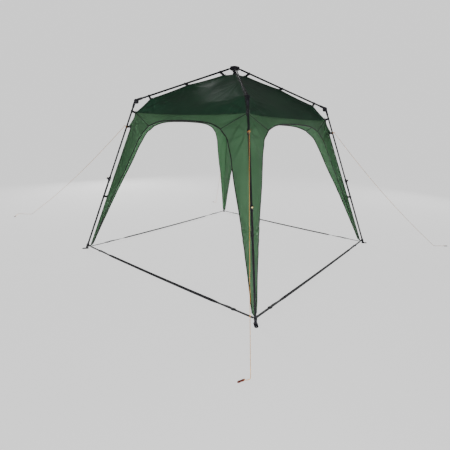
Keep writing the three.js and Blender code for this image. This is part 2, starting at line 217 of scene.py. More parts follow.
def spline(points, count):
    """Smooth curve through points: Catmull-Rom with the ends carried on, sampled evenly by arc length."""
    p = np.asarray(points, float)
    p = np.vstack([2 * p[0] - p[1], p, 2 * p[-1] - p[-2]])
    t = np.linspace(0, 1, 24, endpoint=False)[:, None]
    out = []
    for a, b, c, d in zip(p[:-3], p[1:-2], p[2:-1], p[3:]):
        out.append(0.5 * (2 * b + (c - a) * t + (2 * a - 5 * b + 4 * c - d) * t**2
                          + (3 * b - a - 3 * c + d) * t**3))
    fine = np.vstack([*out, p[-2][None]])
    return resample(fine, count)


def resample(line, count):
    """The same line with count points evenly spaced by length."""
    along = np.concatenate([[0], np.linalg.norm(np.diff(line, axis=0), axis=1).cumsum()])
    at = np.linspace(0, along[-1], count)
    return np.stack([np.interp(at, along, line[:, k]) for k in range(line.shape[1])], axis=1)


# ---------------------------------------------------------------- materials

def colour(code):
    """sRGB hex to linear red, green, blue and one."""
    value = np.array([int(code[i:i + 2], 16) / 255 for i in (0, 2, 4)])
    linear = np.where(value <= 0.04045, value / 12.92, ((value + 0.055) / 1.055) ** 2.4)
    return (*linear.tolist(), 1.0)


def add(tree, kind, inputs=None, **settings):
    """Adds a node. inputs maps a socket to a value, or to the output socket that feeds it."""
    node = tree.nodes.new(kind)
    for key, value in settings.items():
        setattr(node, key, value)
    for key, value in (inputs or {}).items():
        if isinstance(value, bpy.types.NodeSocket):
            tree.links.new(value, node.inputs[key])
        else:
            node.inputs[key].default_value = value
    return node


def new_material(name):
    mat = bpy.data.materials.new(name)
    mat.use_nodes = True
    mat.node_tree.nodes.clear()
    return mat, mat.node_tree


def ramp(tree, fac, stops):
    """Colour ramp through (place, hex) stops."""
    node = add(tree, "ShaderNodeValToRGB", {"Fac": fac})
    for element, (place, code) in zip(node.color_ramp.elements, (stops[0], stops[-1])):
        element.position, element.color = place, colour(code)
    for place, code in stops[1:-1]:
        node.color_ramp.elements.new(place).color = colour(code)
    return node.outputs["Color"]


def finish_material(tree, shader):
    add(tree, "ShaderNodeOutputMaterial", {"Surface": shader})


def coated_polyester(name, dark, mid, light, through, see_through):
    """Plain-weave polyester with a clear water-repellent coat: soft grey-green sheen at a low angle and
    a little light through the cloth. Real threads are 0.25 mm apart, drawn here at 2.4 mm so they show."""
    mat, tree = new_material(name)
    uv = add(tree, "ShaderNodeUVMap", uv_map="cloth_uv").outputs["UV"]
    spot = add(tree, "ShaderNodeTexCoord").outputs["Object"]
    threads = {"Vector": uv, "Scale": 131.0, "Distortion": 0.4}
    warp = add(tree, "ShaderNodeTexWave", threads, bands_direction="X").outputs["Fac"]
    weft = add(tree, "ShaderNodeTexWave", threads, bands_direction="Y").outputs["Fac"]
    weave = add(tree, "ShaderNodeMath", {0: warp, 1: weft}, operation="MULTIPLY")
    cloud = add(tree, "ShaderNodeTexNoise", {"Vector": spot, "Scale": 2.2, "Detail": 4.0, "Roughness": 0.6})
    fine = add(tree, "ShaderNodeTexNoise", {"Vector": spot, "Scale": 90.0, "Detail": 2.0})
    tone = add(tree, "ShaderNodeMath", {0: fine.outputs["Fac"], 1: 0.22, 2: 0.0}, operation="MULTIPLY_ADD")
    tone = add(tree, "ShaderNodeMath", {0: cloud.outputs["Fac"], 1: 0.78, 2: tone.outputs[0]},
               operation="MULTIPLY_ADD")
    base = ramp(tree, tone.outputs[0], [(0.32, dark), (0.5, mid), (0.68, light)])
    thread = add(tree, "ShaderNodeMix", {"Factor": 0.10, "A": base, "B": colour(dark)},
                 data_type="RGBA", blend_type="MULTIPLY")
    rough = add(tree, "ShaderNodeMapRange", {"Value": cloud.outputs["Fac"], "To Min": 0.38, "To Max": 0.52})
    bump = add(tree, "ShaderNodeBump", {"Strength": 0.12, "Distance": 0.0006, "Height": weave.outputs[0]})
    cloth = add(tree, "ShaderNodeBsdfPrincipled", {
        "Base Color": thread.outputs["Result"], "Roughness": rough.outputs["Result"], "IOR": 1.5,
        "Specular IOR Level": 0.34, "Sheen Weight": 0.03, "Sheen Roughness": 0.45,
        "Sheen Tint": colour("b9c7ba"), "Normal": bump.outputs["Normal"]})
    glow = add(tree, "ShaderNodeBsdfTranslucent", {"Color": colour(through)})
    both = add(tree, "ShaderNodeMixShader", {"Fac": see_through, 1: cloth.outputs[0], 2: glow.outputs[0]})
    finish_material(tree, both.outputs[0])
    return mat


def woven_webbing(name, code, edge):
    """Polypropylene webbing: ribs about 1.6 mm apart, drawn at 3 mm, dull with a faint shine on them."""
    mat, tree = new_material(name)
    uv = add(tree, "ShaderNodeUVMap", uv_map="cloth_uv").outputs["UV"]
    ribs = add(tree, "ShaderNodeTexWave", {"Vector": uv, "Scale": 105.0, "Distortion": 0.6},
               bands_direction="Y")
    rows = add(tree, "ShaderNodeTexWave", {"Vector": uv, "Scale": 210.0}, bands_direction="X")
    knit = add(tree, "ShaderNodeMath", {0: ribs.outputs["Fac"], 1: rows.outputs["Fac"]}, operation="MULTIPLY")
    fuzz = add(tree, "ShaderNodeTexNoise", {"Vector": uv, "Scale": 340.0, "Detail": 2.0})
    tone = add(tree, "ShaderNodeMath", {0: knit.outputs[0], 1: 0.6, 2: fuzz.outputs["Fac"]},
               operation="MULTIPLY_ADD")
    base = ramp(tree, tone.outputs[0], [(0.3, code), (0.95, edge)])
    bump = add(tree, "ShaderNodeBump", {"Strength": 0.5, "Distance": 0.0005, "Height": knit.outputs[0]})
    cloth = add(tree, "ShaderNodeBsdfPrincipled", {
        "Base Color": base, "Roughness": 0.78, "IOR": 1.49, "Sheen Weight": 0.15, "Sheen Roughness": 0.5,
        "Normal": bump.outputs["Normal"]})
    finish_material(tree, cloth.outputs[0])
    return mat


def powder_coated_steel():
    """Black powder coat on steel tube: satin, with a fine orange peel of about 1.5 mm and thin rub marks."""
    mat, tree = new_material("powder_coated_steel_tube")
    spot = add(tree, "ShaderNodeTexCoord").outputs["Object"]
    peel = add(tree, "ShaderNodeTexNoise", {"Vector": spot, "Scale": 650.0, "Detail": 2.0})
    rub = add(tree, "ShaderNodeTexNoise", {"Vector": spot, "Scale": 14.0, "Detail": 6.0, "Roughness": 0.7})
    base = ramp(tree, rub.outputs["Fac"], [(0.35, "141416"), (0.6, "1d1e21"), (0.78, "2c2d31")])
    rough = add(tree, "ShaderNodeMapRange", {"Value": rub.outputs["Fac"], "To Min": 0.3, "To Max": 0.48})
    bump = add(tree, "ShaderNodeBump", {"Strength": 0.15, "Distance": 0.0002, "Height": peel.outputs["Fac"]})
    paint = add(tree, "ShaderNodeBsdfPrincipled", {
        "Base Color": base, "Roughness": rough.outputs["Result"], "IOR": 1.5, "Coat Weight": 0.25,
        "Coat Roughness": 0.22, "Normal": bump.outputs["Normal"]})
    finish_material(tree, paint.outputs[0])
    return mat


def moulded_nylon(name, dark, light, rough_low, rough_high):
    """Glass-filled nylon, injection moulded: fine spark-eroded grain of about 0.8 mm and a dull sheen."""
    mat, tree = new_material(name)
    spot = add(tree, "ShaderNodeTexCoord").outputs["Object"]
    grain = add(tree, "ShaderNodeTexVoronoi", {"Vector": spot, "Scale": 1200.0})
    flow = add(tree, "ShaderNodeTexNoise", {"Vector": spot, "Scale": 45.0, "Detail": 4.0})
    base = ramp(tree, flow.outputs["Fac"], [(0.35, dark), (0.7, light)])
    rough = add(tree, "ShaderNodeMapRange",
                {"Value": flow.outputs["Fac"], "To Min": rough_low, "To Max": rough_high})
    bump = add(tree, "ShaderNodeBump",
               {"Strength": 0.2, "Distance": 0.0002, "Height": grain.outputs["Distance"]})
    body = add(tree, "ShaderNodeBsdfPrincipled", {
        "Base Color": base, "Roughness": rough.outputs["Result"], "IOR": 1.53,
        "Normal": bump.outputs["Normal"]})
    finish_material(tree, body.outputs[0])
    return mat


def zinc_plated_pin():
    """Zinc-plated steel rivet: grey metal with turning lines about 0.4 mm apart."""
    mat, tree = new_material("zinc_plated_pin")
    spot = add(tree, "ShaderNodeTexCoord").outputs["Object"]
    lines = add(tree, "ShaderNodeTexNoise", {"Vector": spot, "Scale": 900.0, "Detail": 1.0})
    patch = add(tree, "ShaderNodeTexNoise", {"Vector": spot, "Scale": 120.0, "Detail": 3.0})
    base = ramp(tree, patch.outputs["Fac"], [(0.3, "8f9094"), (0.7, "b9babd")])
    rough = add(tree, "ShaderNodeMapRange", {"Value": lines.outputs["Fac"], "To Min": 0.25, "To Max": 0.42})
    metal = add(tree, "ShaderNodeBsdfPrincipled", {
        "Base Color": base, "Roughness": rough.outputs["Result"], "Metallic": 1.0})
    finish_material(tree, metal.outputs[0])
    return mat


def braided_cord(name, code, fleck, dark):
    """Braided polypropylene cord: crossing strands about 2 mm long with paler fleck threads."""
    mat, tree = new_material(name)
    uv = add(tree, "ShaderNodeUVMap", uv_map="cloth_uv").outputs["UV"]
    one = add(tree, "ShaderNodeMapping", {"Vector": uv, "Rotation": (0, 0, 0.7)}).outputs["Vector"]
    two = add(tree, "ShaderNodeMapping", {"Vector": uv, "Rotation": (0, 0, -0.7)}).outputs["Vector"]
    left = add(tree, "ShaderNodeTexWave", {"Vector": one, "Scale": 160.0}, bands_direction="X")
    right = add(tree, "ShaderNodeTexWave", {"Vector": two, "Scale": 160.0}, bands_direction="X")
    braid = add(tree, "ShaderNodeMath", {0: left.outputs["Fac"], 1: right.outputs["Fac"]},
                operation="MAXIMUM")
    flecks = add(tree, "ShaderNodeTexNoise", {"Vector": uv, "Scale": 260.0, "Detail": 2.0})
    body = ramp(tree, braid.outputs[0], [(0.2, dark), (0.75, code)])
    mixed = add(tree, "ShaderNodeMapRange",
                {"Value": flecks.outputs["Fac"], "From Min": 0.56, "From Max": 0.66})
    base = add(tree, "ShaderNodeMix", {"Factor": mixed.outputs["Result"], "A": body, "B": colour(fleck)},
               data_type="RGBA")
    bump = add(tree, "ShaderNodeBump", {"Strength": 0.6, "Distance": 0.0004, "Height": braid.outputs[0]})
    cord = add(tree, "ShaderNodeBsdfPrincipled", {
        "Base Color": base.outputs["Result"], "Roughness": 0.7, "IOR": 1.49, "Sheen Weight": 0.2,
        "Normal": bump.outputs["Normal"]})
    finish_material(tree, cord.outputs[0])
    return mat


def matt_floor():
    """Matt pale paper under the object."""
    mat, tree = new_material("pale_paper_sweep")
    spot = add(tree, "ShaderNodeTexCoord").outputs["Object"]
    tooth = add(tree, "ShaderNodeTexNoise", {"Vector": spot, "Scale": 0.6, "Detail": 2.0})
    base = ramp(tree, tooth.outputs["Fac"], [(0.3, "fbfbfb"), (0.7, "ffffff")])
    paper = add(tree, "ShaderNodeBsdfPrincipled",
                {"Base Color": base, "Roughness": 0.9, "Specular IOR Level": 0.1})
    finish_material(tree, paper.outputs[0])
    return mat


# One coated polyester in two copies. The roof copy has darker colours and less see-through glow: painted shade
# for a roof that gets less light. The leg copy is lighter and glows more: painted light. It is used on the leg
# panels, the gussets and the band below the eave.
ROOF_FABRIC_PAINTED_SHADE = coated_polyester("polyester_roof_painted_shade", "203c2d", "284936", "315540", "3c6a4a", 0.15)
LEG_FABRIC_PAINTED_LIGHT = coated_polyester("polyester_legs_painted_light", "3b5640", "4a694f", "59795d", "88ac8c", 0.38)
SEAM_TAPE = woven_webbing("woven_seam_binding", "060706", "0d0f0e")
GREEN_TAPE = woven_webbing("green_seam_binding", "0c1a11", "14261a")
WEBBING = woven_webbing("black_polypropylene_webbing", "0e0e10", "232327")
TUBE = powder_coated_steel()
NYLON = moulded_nylon("moulded_nylon_black", "121216", "26252b", 0.38, 0.55)
BUTTON = moulded_nylon("moulded_acetal_button", "d8c57c", "ece0a4", 0.28, 0.4)
RUNNER = moulded_nylon("moulded_nylon_runner", "3a1a14", "5a2a20", 0.35, 0.5)
PIN = zinc_plated_pin()
CORD = braided_cord("braided_guy_cord", "b87e2a", "dab87a", "84561a")
LOOP = braided_cord("orange_attachment_cord", "e08a10", "f0b040", "b06008")


def dress(obj, material, body, slot_name, *nodes):
    """Gives a piece its material and body, and hides the CAD nodes that it stands for. slot_name is not used."""
    obj.data.materials.clear()
    obj.data.materials.append(material)
    if body:
        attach(obj, body)
    if nodes:
        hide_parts(*nodes)
    return obj


# ---------------------------------------------------------------- camera and cords

def place_camera():
    """Camera at head height, a little wide, looking down at the shelter's front right corner."""
    yaw, pitch, roll = 2.2020, -0.4900, 0.0336
    forward = np.array([math.cos(pitch) * math.cos(yaw), math.cos(pitch) * math.sin(yaw), math.sin(pitch)])
    flat = np.array([math.sin(yaw), -math.cos(yaw), 0.0])
    up = np.cross(flat, forward)
    right = math.cos(roll) * flat + math.sin(roll) * up
    up = np.cross(right, forward)
    data = bpy.data.cameras.new("view")
    data.lens = 24.277
    data.sensor_width = 36.0
    data.shift_x, data.shift_y = -0.0504, 0.1426
    data.clip_end = 200
    camera = bpy.data.objects.new("view", data)
    bpy.context.scene.collection.objects.link(camera)
    turn = Matrix([list(row) for row in np.stack([right, up, -forward], axis=1)]).to_4x4()
    camera.matrix_world = Matrix.Translation((2.8042, -3.4277, 1.6068)) @ turn
    bpy.context.scene.camera = camera


place_camera()


def guy_line(corner):
    """Rope's centreline: from its loop on the leg in a shallow sag to the floor, then along the floor."""
    start = at_corner(corner, on_leg(GUY_AT, -GUY_OUT))[0]
    lie = np.array([[x, y, ROPE_LIE] for x, y in GUYS[corner]])
    f = (np.arange(12) / 12)[:, None]
    hang = start + f * (lie[0] - start)
    hang[:, 2] -= 0.06 * 4 * f[:, 0] * (1 - f[:, 0])
    line = spline(np.vstack([hang, lie]), 140)
    line[:, 2] = np.maximum(line[:, 2], ROPE_LIE)
    return line


def guy_runner(name, centre, along):
    """Line runner: a rounded plate 60 by 17 mm and 9 mm thick, its top crowned by 1 - s^4, with a waist."""
    along = np.array([*along, 0.0])
    along /= np.linalg.norm(along)
    across = np.array([-along[1], along[0], 0.0])
    t = np.linspace(-1, 1, 41)
    half = 0.0085 * np.sqrt(np.clip(1 - np.abs(t) ** 6, 0, 1)) * (1 - 0.16 * np.cos(t * np.pi) ** 2) + 0.0004
    s = np.linspace(-1, 1, 13)
    x = 0.03 * t[:, None] * np.ones_like(s)
    y = half[:, None] * s
    z = 0.0065 + 0.003 * (1 - s**4)[None, :] * (1 - t**8)[:, None]
    top = np.array([*centre, 0.0]) + x[..., None] * along + y[..., None] * across
    top[..., 2] = z
    low = top.copy()
    low[..., 2] = 0.0006
    n, m = x.shape
    points = np.concatenate([top.reshape(-1, 3), low.reshape(-1, 3)])
    faces = grid_faces(n, m) + [f[::-1] for f in (np.array(grid_faces(n, m)) + n * m).tolist()]
    rim = ([i * m for i in range(n)] + [(n - 1) * m + k for k in range(1, m)]
           + [i * m + m - 1 for i in range(n - 2, -1, -1)] + list(range(m - 2, 0, -1)))
    faces += [[a, b, b + n * m, a + n * m] for a, b in zip(rim, rim[1:] + rim[:1])]
    return smooth_by_angle(outward(new_object(name, points, faces), weld=True), 40)


def make_guys():
    for corner in CORNERS:
        line = guy_line(corner)
        rope = sweep(f"guy_cord_{corner}", line, round_profile(ROPE_R, 12))
        dress(rope, CORD, f"guy_{corner}", "guy_cord", f"guy_rope_{corner}")
        away = line[-1, :2] - line[-6, :2]
        away /= np.linalg.norm(away)
        runner = guy_runner(f"guy_runner_{corner}", line[-1, :2] + 0.02 * away, away)
        dress(runner, RUNNER, f"guy_{corner}", "joint_plastic")
        knot_at = line[-1] + np.array([*(-0.012 * away), 0.0])
        a = np.linspace(0, 4 * np.pi, 60)
        side = np.array([-away[1], away[0], 0])
        wrap = (knot_at + 0.0032 * np.cos(a)[:, None] * side
                + 0.0030 * np.sin(a)[:, None] * np.array([0, 0, 1])
                + (a / (4 * np.pi) * 0.011)[:, None] * np.array([*away, 0]))
        knot = sweep(f"guy_knot_{corner}", wrap, round_profile(0.0018, 8), up=(0.3, 0.2, 1))
        dress(knot, CORD, f"guy_{corner}", "guy_cord")


make_guys()

# ---------------------------------------------------------------- frame

def dress_frame():
    """CAD nodes of the frame: smooth shading, small bevels on the moulded parts, and each one's finish."""
    kinds = {
        "roof_arm": (TUBE, "frame_paint", 0), "upper_leg": (TUBE, "frame_paint", 0),
        "lower_leg": (TUBE, "frame_paint", 0), "elbow_fork": (NYLON, "joint_plastic", 0.0007),
        "elbow_block": (NYLON, "joint_plastic", 0.0007), "elbow_pin": (PIN, "pin_steel", 0.0004),
        "leg_collar": (NYLON, "joint_plastic", 0.0007), "snap_button": (BUTTON, "button_plastic", 0.0008),
        "foot": (NYLON, "joint_plastic", 0.0008), "hub_cap": (NYLON, "joint_plastic", 0.0010),
        "hub": (NYLON, "joint_plastic", 0.0012),
    }
    names = [f"{kind}_{corner}" for kind in kinds if not kind.startswith("hub") for corner in CORNERS]
    for name in [*names, "hub", "hub_cap"]:
        node = bpy.data.objects[name]
        kind = name if name.startswith("hub") else next(k for k in kinds if name.startswith(k))
        material, slot_name, bevel = kinds[kind]
        node.data.materials.clear()
        node.data.materials.append(material)
        smooth_by_angle(node, 32)
        if bevel:
            soften = node.modifiers.new("rounded_edges", "BEVEL")
            soften.width, soften.segments, soften.limit_method = bevel, 2, "ANGLE"
            soften.angle_limit = math.radians(40)


dress_frame()


def cover(name, corner, centre, radius, near, far, body):
    """Rounded cover over the elbow, turned about the pin: its radius falls by sqrt(1 - 0.55 h^3) to its face."""
    h = np.linspace(0, 1, 9)
    r = radius * np.sqrt(1 - 0.55 * h**3)
    ring = np.append(r, r[-1] * 0.55)
    depth = np.append(near + (far - near) * h, far)
    a = np.arange(36) / 36 * 2 * np.pi
    axes = corner_axes(corner)
    out = centre[0] + ring[:, None] * np.cos(a)
    up = centre[1] + ring[:, None] * np.sin(a)
    points = out[..., None] * axes[0] + depth[:, None, None] * axes[1] + up[..., None] * axes[2]
    n, m = points.shape[:2]
    faces = grid_faces(n, m, wrap=True) + end_faces(n, m)
    obj = smooth_by_angle(outward(new_object(name, points, faces), weld=True), 40)
    return dress(obj, NYLON, body, "joint_plastic")


def make_covers():
    """A cover on each side of each elbow, clear of the tubes that fold past between them."""
    for corner in CORNERS:
        for tag, sign in (("a", -1), ("b", 1)):
            cover(f"elbow_cover_{tag}_{corner}", corner, ELBOW + np.array([0.002, 0.002]), 0.026,
                  sign * 0.0136, sign * 0.0185, f"arm_{corner}")


make_covers()


# ---------------------------------------------------------------- canopy

def side_out(z):
    """Distance of a side's plane from the hub axis at a height."""
    (top_r, top_z), (low_r, low_z) = EDGE[0], EDGE[-1]
    return (top_r + (top_z - z) / (top_z - low_z) * (low_r - top_r)) / ROOT2


def ridge_height(r):
    """Ridge line: straight between its hanging points, with a 5 mm sag in each span."""
    z = np.interp(r, RIDGE[:, 0], RIDGE[:, 1])
    span = np.clip(np.searchsorted(RIDGE[:, 0], r, side="right") - 1, 0, len(RIDGE) - 2)
    f = (r - RIDGE[span, 0]) / (RIDGE[span + 1, 0] - RIDGE[span, 0])
    return z - 0.020 * f * (1 - f)


def smoothstep(low, high, x):
    t = np.clip((x - low) / (high - low), 0, 1)
    return t * t * (3 - 2 * t)


def creases(x, y, anchor, size, reach, folds, phase):
    """Pull creases from a loaded point: ripple(angle) times exp(-distance / reach), tallest a little way out."""
    dx, dy = x - anchor[0], y - anchor[1]
    away = np.hypot(dx, dy)
    angle = np.arctan2(dy, dx)
    ripple = np.sin(folds * angle + phase) + 0.45 * np.sin(1.9 * folds * angle + 2.3 * phase)
    return size * ripple * np.exp(-away / reach) * smoothstep(0.0, 0.22 * reach + 0.02, away)


def ripple_noise(x, y, scale, seed):
    """Broad slack of the cloth: a sum of five waves in directions set by the seed."""
    rng = np.random.default_rng(seed)
    total = np.zeros(np.broadcast(x, y).shape)
    for k in range(5):
        turn, phase = rng.uniform(0, 2 * np.pi, 2)
        step = 2 * np.pi / scale * (0.6 + 0.35 * k)
        total = total + np.sin(step * (x * np.cos(turn) + y * np.sin(turn)) + phase) / (1 + 0.5 * k)
    return total / 2.5


def push(points, height):
    """Moves a grid's points by height along its normal, less the part along the side, so that halves meet."""
    du = np.gradient(points, axis=0)
    dv = np.gradient(points, axis=1)
    normal = np.cross(dv, du)
    normal[..., 0] = 0
    normal /= np.maximum(np.linalg.norm(normal, axis=2, keepdims=True), 1e-12)
    return points + height[..., None] * normal


def arch_line(count):
    """Bottom of the band: from mid-arch to the seam's end on the arch, then up the seam to the eave corner."""
    arch = spline(ARCH[::-1], 80)
    corner = np.array([EDGE[0, 0] / ROOT2, EDGE[0, 1]])
    seam = arch[-1] + np.linspace(0, 1, 30)[1:, None] * (corner - arch[-1])
    return resample(np.vstack([arch, seam]), count)


ROOF_ROWS, BAND_ROWS, ACROSS = 74, 14, 61


def roof_grid(seed):
    """Half a side's cloth, hub to arch edge, as along, outward and up. Rows run down it, columns from its
    middle to the ridge. Above the eave a row lies at radius r: along c r / root 2, its height the ridge's less
    a sag of s (1 - c^2). Below the eave, rows go down the side plane to the arch and the diagonal seam."""
    c = np.linspace(0, 1, ACROSS) * 0.996
    r = np.interp(np.linspace(0, 1, ROOF_ROWS), [0, 1], [RIDGE[0, 0], RIDGE[-1, 0]])
    sagging = spline(np.stack([RIDGE[:, 0], RIDGE_SAG, RIDGE[:, 1]], axis=1), 400)
    low = np.interp(r, sagging[:, 0], sagging[:, 2] - sagging[:, 1])
    high = ridge_height(r)
    z = high[:, None] * c**2 + low[:, None] * (1 - c**2)
    o = np.broadcast_to(r[:, None] / ROOT2, z.shape)
    roof = np.stack([o * c, o, z], axis=-1)
    line = arch_line(ACROSS)
    line = np.stack([np.interp(c, np.linspace(0, 1, ACROSS), line[:, k]) for k in range(2)], axis=1)
    f = np.linspace(0, 1, BAND_ROWS)[1:, None]
    a = roof[-1, :, 0] + f * (line[:, 0] - roof[-1, :, 0])
    zz = roof[-1, :, 2] + f * (line[:, 1] - roof[-1, :, 2])
    band = np.stack([a, side_out(zz), zz], axis=-1)
    points = np.concatenate([roof, band])
    x, y = points[..., 0], points[..., 1] + (1.722 - np.minimum(points[..., 2], 1.722)) * 0.9
    edge_free = smoothstep(0.0, 0.16, 1 - c)[None, :] * smoothstep(0.0, 0.3, c)[None, :]
    corner = EDGE[0, 0] / ROOT2
    height = creases(x, y, (corner, corner), 0.008, 0.30, 15, 0.6 + seed)
    height += creases(x, y, (RIDGE[3, 0] / ROOT2, RIDGE[3, 0] / ROOT2), 0.004, 0.22, 13, 1.4 + seed)
    height += creases(x, y, (RIDGE[2, 0] / ROOT2, RIDGE[2, 0] / ROOT2), 0.0022, 0.20, 12, 2.2 + seed)
    height += creases(x, y, (0.0, 0.03), 0.0015, 0.25, 16, 0.4)
    height += 0.0022 * ripple_noise(x, y, 0.70, 11 + int(seed))
    height += 0.0004 * ripple_noise(x, y, 0.20, 31 + int(seed))
    band_share = np.concatenate([np.ones(ROOF_ROWS), 1 - 0.75 * np.sin(np.pi * f[:, 0] / 2)])
    top_share = smoothstep(0.02, 0.12, np.concatenate([r, np.full(BAND_ROWS - 1, 1.2)]))
    return push(points, height * edge_free * (band_share * top_share)[:, None])


LEG_ROWS, LEG_ACROSS = 130, 28


def inner_line(count):
    return resample(spline(INNER, 200), count)


def leg_grid(seed):
    """Half a leg panel, on the side plane, as along, outward and up. Rows run from the seam to the foot, columns
    from the corner edge to the free inner edge. It hollows by up to 12 mm and has creases from its ties."""
    outer_z = np.interp(np.linspace(0, 1, LEG_ROWS), [0, 1], [EDGE[0, 1], EDGE[-1, 1]])
    outer = np.stack([side_out(outer_z) - 0.003, outer_z], axis=1)
    inner = inner_line(LEG_ROWS)
    g = np.linspace(0, 1, LEG_ACROSS)[None, :, None]
    flat = outer[:, None] + g * (inner - outer)[:, None]
    points = np.stack([flat[..., 0], side_out(flat[..., 1]), flat[..., 1]], axis=-1)
    x, z = points[..., 0], points[..., 2]
    g = g[..., 0]
    f = np.linspace(0, 1, LEG_ROWS)[:, None]
    hollow = -0.012 * np.sin(np.pi * g) * np.sin(np.pi * np.clip(f * 1.1, 0, 1)) ** 0.7
    height = hollow + creases(x, z, (side_out(1.722), 1.722), 0.007, 0.42, 11, 0.8 + seed)
    height += creases(x, z, (side_out(1.570), 1.570), 0.006, 0.26, 9, 1.9 + seed)
    height += creases(x, z, (side_out(0.730), 0.730), 0.006, 0.30, 9, 0.3 + seed)
    height += creases(x, z, (side_out(0.034), 0.034), 0.005, 0.55, 15, 1.2 + seed)
    height += 0.0022 * ripple_noise(x, z, 0.35, 51 + int(seed))
    free = smoothstep(0.0, 0.18, g) * (0.45 + 0.55 * smoothstep(0.0, 0.25, 1 - g)) * smoothstep(0.0, 0.05, f)
    return push(points, height * free)


def on_side(side, hand, grid):
    """A grid made for a right-hand half, put on its side; the left-hand half is its mirror image."""
    local = grid * np.array([hand, 1, 1])
    return local @ side_axes(side)


def gather(obj):
    """Gives the piece a mesh of its own."""
    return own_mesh(obj)


def rim_of(rows, cols):
    """Indices round the outside of a grid."""
    return [*range(0, rows * cols, cols), *range((rows - 1) * cols + 1, rows * cols),
            *range((rows - 1) * cols - 1, 0, -cols), *range(cols - 2, 0, -1)]


def cloth(name, points, hand, materials, low_rows=None):
    """A closed cloth piece: its grid set off by half a thickness to each side along its normals, and joined
    round the rim. Faces past row low_rows take the second material."""
    rows, cols = points.shape[:2]
    count = rows * cols
    shift = grid_normals(points) * hand * CLOTH_T / 2
    top = np.array(grid_faces(rows, cols))
    top = top[:, ::-1] if hand < 0 else top
    rim = np.array(rim_of(rows, cols))
    ahead = np.roll(rim, -1)
    side = np.stack([rim, ahead, ahead + count, rim + count], axis=1)
    faces = np.vstack([top, top[:, ::-1] + count, side])
    uv = grid_uv(points)
    obj = new_object(name, np.concatenate([points + shift, points - shift]), faces.tolist(),
                     np.concatenate([uv, uv]))
    for material in materials:
        obj.data.materials.append(material)
    if low_rows is not None:
        row = faces.min(axis=1) % count // cols
        obj.data.polygons.foreach_set("material_index", (row >= low_rows).astype(np.int32))
    return smooth_by_angle(outward(obj), 60)


def tape(name, line, normals, width, thick, material, slot_name="webbing"):
    """Tape stitched along a line: a flat band carried along it, its face along the cloth's normal."""
    obj = sweep(name, line, band_profile(width, thick), up=normals)
    return dress(obj, material, None, slot_name)


def grid_normals(points):
    du, dv = np.gradient(points, axis=0), np.gradient(points, axis=1)
    n = np.cross(dv, du)
    return n / np.maximum(np.linalg.norm(n, axis=2, keepdims=True), 1e-12)


def make_canopy():
    for number, (side, (_, left, right)) in enumerate(SIDES.items()):
        for hand, corner in ((-1, left), (1, right)):
            tag = f"{side}_{'left' if hand < 0 else 'right'}"
            arm, leg = f"arm_{corner}", f"leg_{corner}"
            seed = number + (0.45 if hand > 0 else 0.0)
            local = roof_grid(seed)
            grid = on_side(side, hand, local)
            normals = grid_normals(grid) * hand
            # The band below the eave takes the lighter leg copy: painted light on the valance.
            roof = cloth(f"roof_cloth_{tag}", grid, hand, (ROOF_FABRIC_PAINTED_SHADE, LEG_FABRIC_PAINTED_LIGHT), ROOF_ROWS - 1)
            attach(roof, arm)
            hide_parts(f"roof_panel_{side}", f"side_panel_{side}")
            gather(roof)
            eave_at = ROOF_ROWS - 1
            arch_end = int(np.argmin(np.hypot(local[-1, :, 0] - ARCH[0, 0], local[-1, :, 2] - ARCH[0, 1])))
            pieces = [
                tape(f"eave_seam_{tag}", grid[eave_at] + 0.0012 * normals[eave_at], normals[eave_at],
                     0.007, 0.0016, GREEN_TAPE),
                tape(f"arch_binding_{tag}", grid[-1, :arch_end + 1], normals[-1, :arch_end + 1],
                     0.013, 0.0034, SEAM_TAPE),
                tape(f"diagonal_seam_{tag}", grid[-1, arch_end:], normals[-1, arch_end:],
                     0.009, 0.0034, GREEN_TAPE),
            ]
            for piece in pieces:
                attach(piece, arm)
                gather(piece)
            low_local = leg_grid(seed)
            low = on_side(side, hand, low_local)
            low_normals = grid_normals(low) * hand
            panel = cloth(f"leg_cloth_{tag}", low, hand, (LEG_FABRIC_PAINTED_LIGHT,))
            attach(panel, leg)
            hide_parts(f"leg_panel_{corner}")
            gather(panel)
            edge = tape(f"inner_binding_{tag}", low[:, -1], low_normals[:, -1], 0.013, 0.0034, SEAM_TAPE)
            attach(edge, leg)
            gather(edge)


make_canopy()


def ridge_path(corner, count=90):
    r = np.linspace(0.055, RIDGE[-1, 0], count)
    return at_corner(corner, np.stack([r, ridge_height(r) + 0.0015], axis=1))


def make_corner_seams():
    """Felled seams: along each ridge to the eave corner, and down the corner edge of each leg panel."""
    for corner in CORNERS:
        line = ridge_path(corner)
        ridge = tape(f"ridge_seam_{corner}", line, (0, 0, 1), 0.016, 0.0026, GREEN_TAPE)
        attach(ridge, f"arm_{corner}")
        z = np.linspace(EDGE[0, 1], EDGE[-1, 1], 120)
        down = at_corner(corner, np.stack([side_out(z) * ROOT2 + 0.0005, z], axis=1))
        edge = tape(f"corner_seam_{corner}", down, corner_axes(corner)[0], 0.012, 0.0030, GREEN_TAPE)
        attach(edge, f"leg_{corner}")


make_corner_seams()


# ---------------------------------------------------------------- straps and ties

def loop_points(radius, drop, count=56):
    """Teardrop of a loop round a tube: two straight legs from a point drop below the tube's centre, touching
    the circle, and the arc over it. First column is sideways, second is away from the tied point."""
    beta = math.acos(radius / drop)
    a = np.linspace(-math.pi / 2 + beta, 1.5 * math.pi - beta, 40)
    arc = radius * np.stack([np.cos(a), np.sin(a)], axis=1)
    foot = np.array([[0.0, -drop]])
    return resample(np.vstack([foot, arc, foot]), count)


